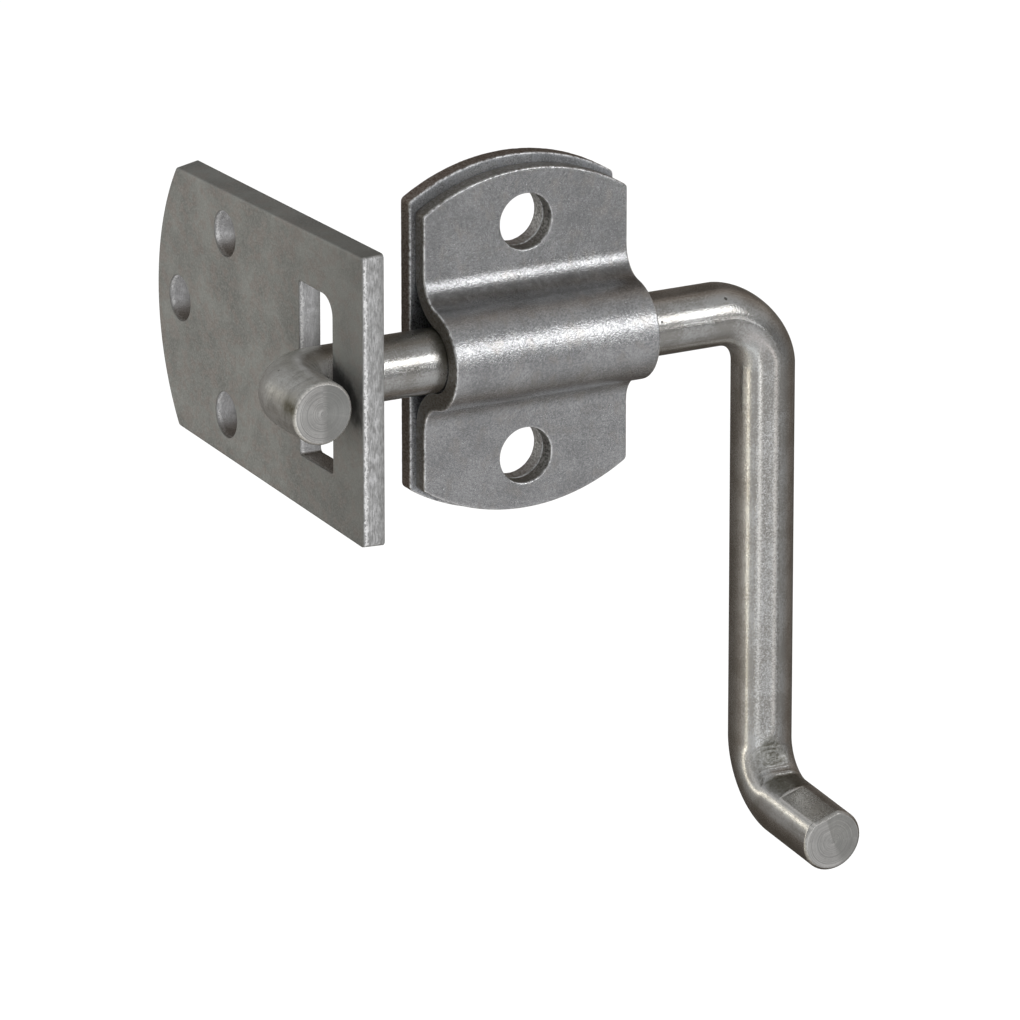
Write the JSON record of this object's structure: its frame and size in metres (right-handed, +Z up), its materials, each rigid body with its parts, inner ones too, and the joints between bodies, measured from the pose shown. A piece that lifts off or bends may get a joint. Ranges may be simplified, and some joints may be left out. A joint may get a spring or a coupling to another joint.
{
  "type": "security latch",
  "caption": "Gate latch: a bent round bar turns in a strap on a backing plate, and its hook passes a slotted keeper plate and locks behind it.",
  "frame": {"origin": "midway between the two bracket bolt holes, on the back face of the backing plate", "axes": "+X along the bar from the keeper towards the handle, +Y away from the user into the gate, +Z up"},
  "size_m": [0.1517, 0.1228, 0.1832],
  "materials": {
    "backing_sheet": "bare cut sheet, satin",
    "pressed_sheet": "bare pressed sheet, satin",
    "drawn_bar": "bare drawn bar, semi-bright",
    "mill_plate": "bare mill plate, matt"
  },
  "bodies": {
    "bracket": {"backing_plate": "backing_sheet", "strap": "pressed_sheet", "keeper_plate": "mill_plate"},
    "bar": {"latch_rod": "drawn_bar"}
  },
  "joints": [
    {"name": "bar_turn", "type": "hinge", "parent": "bracket", "child": "bar", "pos_m": [0, -0.0134, 0], "axis": [1, 0, 0], "range_deg": [-165, 0]}
  ]
}
